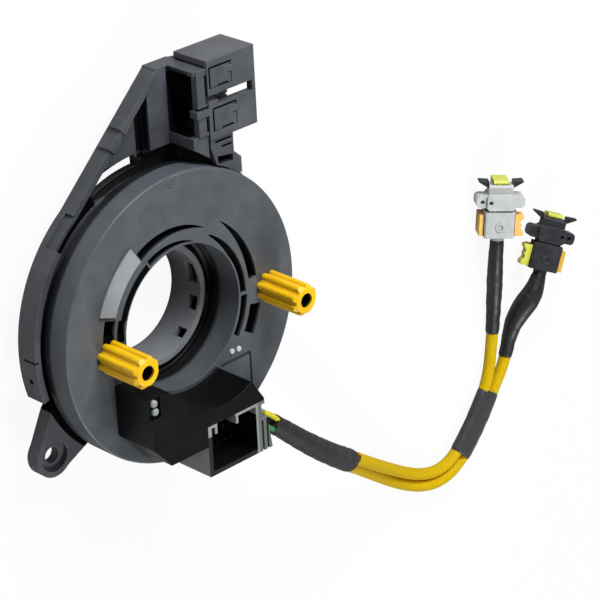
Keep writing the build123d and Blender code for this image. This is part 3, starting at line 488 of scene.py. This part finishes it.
# a tube along a route, whose radius at each vertex comes from radiusAt(metres along, whole length, share
# of a turn, outward direction), which also gives the value kept in the "weave" attribute
def tubeAlong(name, points, sides, stepMm, radiusAt, material):
    route = routeCurve(name + "Route", points)
    total = sum((Vector(q) - Vector(p)).length for p, q in zip(points, points[1:]))
    route.data.resolution_u = max(2, math.ceil(total / (stepMm * mm) / (len(points) - 1)))
    line = [v.co.copy() for v in curveMesh(route).vertices]
    along = [0.0]
    for a, b in zip(line, line[1:]):
        along.append(along[-1] + (b - a).length)
    route.data.bevel_depth = mm
    route.data.bevel_resolution = (sides - 4) // 2
    mesh = curveMesh(route)
    bpy.data.objects.remove(route)
    weave = mesh.attributes.new("weave", "FLOAT", "POINT")
    for i, vertex in enumerate(mesh.vertices):
        ring, step = divmod(i, sides)
        outward = (vertex.co - line[ring]).normalized()
        radius, value = radiusAt(along[ring], along[-1], step / sides, outward)
        vertex.co = line[ring] + outward * radius
        weave.data[i].value = value
    shape = bmesh.new()
    shape.from_mesh(mesh)
    bmesh.ops.holes_fill(shape, edges=[e for e in shape.edges if e.is_boundary], sides=0)
    bmesh.ops.recalc_face_normals(shape, faces=shape.faces)
    for face in shape.faces:
        face.smooth = len(face.verts) == 4
    shape.to_mesh(mesh)
    shape.free()
    mesh.materials.clear()
    mesh.materials.append(material)
    piece = bpy.data.objects.new(name, mesh)
    bpy.context.scene.collection.objects.link(piece)
    return piece, line, along[-1]


# yellow braid: two sets of strands wind against each other and pass over and under
braid = {"radiusMm": 2.22, "reliefMm": 0.2, "strands": 8, "crossingMm": 2.2, "dive": 0.45,
         "meanHeight": 0.75, "sides": 40, "stepMm": 0.42}


# the strand height given here is kept in the "weave" attribute and sets the braid's painted shade
def braidRadius(along, length, turn, outward):
    a = turn * braid["strands"] + along / (braid["crossingMm"] * mm)
    b = turn * braid["strands"] - along / (braid["crossingMm"] * mm)
    over = 0.5 + 0.5 * math.sin(math.pi * (math.floor(a) + math.floor(b) + 0.5))
    first = math.sqrt(abs(math.sin(math.pi * a))) * (1 - braid["dive"] * (1 - over))
    second = math.sqrt(abs(math.sin(math.pi * b))) * (1 - braid["dive"] * over)
    height = max(first, second)
    return (braid["radiusMm"] + braid["reliefMm"] * (height - braid["meanHeight"])) * mm, height


# creases of a wrap: how far its skin lies out or in, by the place along it and the share of a turn, read
# from noise on a circle that is walked round by creaseTurn radians
def creaseAt(look, along, turn):
    angle = turn * look["creaseTurn"]
    spot = Vector((along / (look["creaseEveryMm"] * mm), math.cos(angle) * look["creaseRound"],
                   math.sin(angle) * look["creaseRound"]))
    return look["creaseMm"] * noise.noise(spot)


# tape wound with an overlap: the thickness grows across each turn and drops at its edge
def woundTape(look):
    def radiusAt(along, length, turn, outward):
        wind = (along / (look["turnMm"] * mm) + turn) % 1.0
        ends = min(along, length - along) / (look["taperMm"] * mm)
        taper = min(1.0, max(0.0, ends)) ** 0.5
        swell = look["bulgeMm"] * math.sin(math.pi * (along / length) ** look["lean"]) ** 1.5
        startToEnd = look["startMm"] + (look["endMm"] - look["startMm"]) * along / length
        radius = startToEnd + swell + look["stepUpMm"] * wind + creaseAt(look, along, turn)
        share = look["endShare"] + (1 - look["endShare"]) * taper
        radius = look["coreMm"] + (radius - look["coreMm"]) * share
        edge = max(0.0, (wind - look["edgeFrom"]) / (1 - look["edgeFrom"]))
        return radius * mm, edge * look["edgeTone"]
    return radiusAt


trunkLook = {"startMm": 3.15, "endMm": 4.1, "coreMm": 2.9, "stepUpMm": 0.12, "turnMm": 9.0, "bulgeMm": 0.1,
             "lean": 1.0, "taperMm": 1.5, "endShare": 0.35, "edgeFrom": 0.86, "edgeTone": 0.8,
             "creaseMm": 0.16, "creaseEveryMm": 3.2, "creaseRound": 1.3, "creaseTurn": 6.283, "sides": 40,
             "stepMm": 0.5}
tapeALook = dict(trunkLook, startMm=2.55, endMm=2.6, coreMm=2.35, stepUpMm=0.08, turnMm=6.0, bulgeMm=0.35,
                 sides=32, stepMm=0.45, lengthMm=39.5, apartMm=3)
tapeBLook = dict(tapeALook, stepUpMm=0.1, turnMm=6.5, bulgeMm=1.6, lean=1.5, lengthMm=32.0)
sleeveLook = {"wideMm": 5.2, "highMm": 2.85, "taperMm": 2.0, "endShare": 0.93, "boxy": 2.3, "creaseMm": 0.14,
              "creaseEveryMm": 2.6, "creaseRound": 1.6, "creaseTurn": 6.283, "sides": 44, "stepMm": 0.5}


# shrunk sleeve: a flat oval round both leads, drawn in a little at its ends
def sleeveRadius(along, length, turn, outward):
    level = math.hypot(outward.x, outward.y)
    boxy = sleeveLook["boxy"]
    flat = (level / sleeveLook["wideMm"]) ** boxy + (abs(outward.z) / sleeveLook["highMm"]) ** boxy
    radius = flat ** (-1 / boxy)
    ends = min(along, length - along) / (sleeveLook["taperMm"] * mm)
    taper = min(1.0, max(0.0, ends)) ** 0.5
    share = sleeveLook["endShare"] + (1 - sleeveLook["endShare"]) * taper
    return (radius * share + creaseAt(sleeveLook, along, turn)) * mm, 0.0


trunk, trunkLine, trunkLength = tubeAlong("woundTrunk", inMetres(wrapRoute), trunkLook["sides"],
                                          trunkLook["stepMm"], woundTape(trunkLook), clothTape)
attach(trunk, "rotor")
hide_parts("trunk_wrap")
print("trunk", round(trunkLength, 4))

leads = {}
for key, side in (("A", 1), ("B", -1)):
    points = inMetres(leadRoute(key, side))
    lead, line, length = tubeAlong("braidedLead" + key, points, braid["sides"], braid["stepMm"], braidRadius,
                                   yellowBraid)
    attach(lead, "rotor")
    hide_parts("lead_" + key.lower())
    leads[key] = (lead, line, length)
    print("lead", key, round(length, 4))

# tapes follow the last stretch of each lead's own line, by points that lie well apart
for key, look in (("A", tapeALook), ("B", tapeBLook)):
    line = leads[key][1]
    left = look["lengthMm"] * mm
    points = [line[-1]]
    for place in reversed(line[:-1]):
        step = (points[-1] - place).length
        if step > look["apartMm"] * mm:
            points.append(place)
            left -= step
        if left <= 0:
            break
    points = [tuple(p) for p in reversed(points)]
    tape, _, tapeLength = tubeAlong("woundTape" + key, points, look["sides"], look["stepMm"],
                                    woundTape(look), vinylTape)
    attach(tape, "rotor")
    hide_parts("tape_" + key.lower())
    print("tape", key, round(tapeLength, 4))

sleeve = tubeAlong("pairSleeve", inMetres(pairRoute[7:11]), sleeveLook["sides"], sleeveLook["stepMm"],
                   sleeveRadius, shrunkSleeve)[0]
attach(sleeve, "rotor")
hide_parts("mid_sleeve")
print("sleeve done")

# four thin wires between the ribbed wall and the trunk
wireLook = {"radiusMm": 0.85, "fromX": 20.1, "insideMm": 1.5, "bowSide": 0.5, "bowUp": 0.35,
            "roundness": 4, "colours": ["#2f8a55", "#d8c81e", "#7f93a8", "#2c2d30"],
            "spots": [(1.5, 1.5), (-1.5, 1.5), (-1.5, -1.5), (1.5, -1.5)]}
wireStart = Vector(wrapRoute[0])
wireHeading = (Vector(wrapRoute[1]) - wireStart).normalized()
wireSide = wireHeading.cross(Vector((0, 0, 1))).normalized()
wireUp = wireSide.cross(wireHeading)
for number, (u, v) in enumerate(wireLook["spots"]):
    end = wireStart + wireSide * u + wireUp * v + wireHeading * wireLook["insideMm"]
    run = (end.x - wireLook["fromX"]) / wireHeading.x
    begin = end - wireHeading * run
    bow = wireSide * (wireLook["bowSide"] * u) + wireUp * (wireLook["bowUp"] * v)
    middle = (begin + end) / 2 + bow
    route = routeCurve("thinWire%d" % number, inMetres([begin, middle, end]))
    route.data.bevel_depth = wireLook["radiusMm"] * mm
    route.data.bevel_resolution = wireLook["roundness"]
    route.data.use_fill_caps = True
    colour = wireLook["colours"][number]
    look = dict(plugALook, dark=colour, light=colour, roughness=0.35, cloudMm=2.0)
    route.data.materials.append(mouldedPlastic("wire cover %d, extruded" % number, look))
    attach(route, "rotor")
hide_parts("pigtail_wires")
print("wires done")

# the trunk ends where it parts into the two leads, and each lead ends in its plug; the pieces of each plug,
# its tape and, with lead A, the sleeve are only gathered in a list that nothing uses
for key in ("A", "B"):
    lead, line, length = leads[key]
    extra = [nodes["plug_%s_%s" % (key.lower(), part)] for part in ("body", "band", "wings", "lock")]
    extra.append(bpy.data.objects["woundTape" + key])
    if key == "A":
        extra.append(sleeve)

# floor, world and lamps; the camera sees mostly the floor's even glow, and the lamps its matt paint
floorLook = {"halfWidth": 4.0, "paint": "#b4b4b4", "glow": 1.06, "glowShare": 0.88}
floorMesh = bmesh.new()
bmesh.ops.create_grid(floorMesh, x_segments=1, y_segments=1, size=floorLook["halfWidth"])
floorData = bpy.data.meshes.new("paleFloor")
floorMesh.to_mesh(floorData)
floorMesh.free()
floor = bpy.data.objects.new("paleFloor", floorData)
bpy.context.scene.collection.objects.link(floor)
floorPaint = freshMaterial("pale floor")
sight = addNode(floorPaint, "ShaderNodeLightPath")
matt = addNode(floorPaint, "ShaderNodeBsdfDiffuse", {"Color": linear(floorLook["paint"])})
glow = addNode(floorPaint, "ShaderNodeEmission", {"Color": (1, 1, 1, 1), "Strength": floorLook["glow"]})
seen = addNode(floorPaint, "ShaderNodeMixShader",
               {0: floorLook["glowShare"], 1: matt.outputs[0], 2: glow.outputs[0]})
either = addNode(floorPaint, "ShaderNodeMixShader",
                 {0: sight.outputs["Is Camera Ray"], 1: matt.outputs[0], 2: seen.outputs[0]})
addNode(floorPaint, "ShaderNodeOutputMaterial", {"Surface": either.outputs[0]})
floorData.materials.append(floorPaint)

airGlow = 0.24
world = bpy.data.worlds.new("studio")
world.use_nodes = True
world.node_tree.nodes["Background"].inputs["Color"].default_value = (1, 1, 1, 1)
world.node_tree.nodes["Background"].inputs["Strength"].default_value = airGlow
bpy.context.scene.world = world

lamps = {
    "windowLamp": {"from": (0.09, 0.78, 0.53), "size": 0.45, "power": 10.0},
    "frontLamp": {"from": (0.0, -0.9, 0.85), "size": 0.3, "power": 8.0},
    "sideLamp": {"from": (-0.9, -0.3, 0.5), "size": 0.6, "power": 0.4},
}
lampAim = Vector((0.04, 0.0, 0.02))
for name, look in lamps.items():
    data = bpy.data.lights.new(name, "AREA")
    data.size = look["size"]
    data.energy = look["power"]
    lamp = bpy.data.objects.new(name, data)
    lamp.location = look["from"]
    lamp.rotation_euler = (lampAim - lamp.location).to_track_quat("-Z", "Y").to_euler()
    bpy.context.scene.collection.objects.link(lamp)

# the camera's place and turn, as fitted to the photo
cameraLook = {"lensMm": 162.86, "sensorMm": 36, "from": (-0.5111, 0.3719, 0.6119),
              "turned": ((0.7055, 0.3320, -0.6262), (-0.0446, 0.9025, 0.4284), (0.7073, -0.2742, 0.6516))}
cameraData = bpy.data.cameras.new("photoCamera")
cameraData.lens = cameraLook["lensMm"]
cameraData.sensor_width = cameraLook["sensorMm"]
camera = bpy.data.objects.new("photoCamera", cameraData)
camera.matrix_world = Matrix.Translation(cameraLook["from"]) @ Matrix(cameraLook["turned"]).to_4x4()
bpy.context.scene.collection.objects.link(camera)
bpy.context.scene.camera = camera
bpy.context.scene.view_settings.view_transform = "Standard"
print("stage ready")
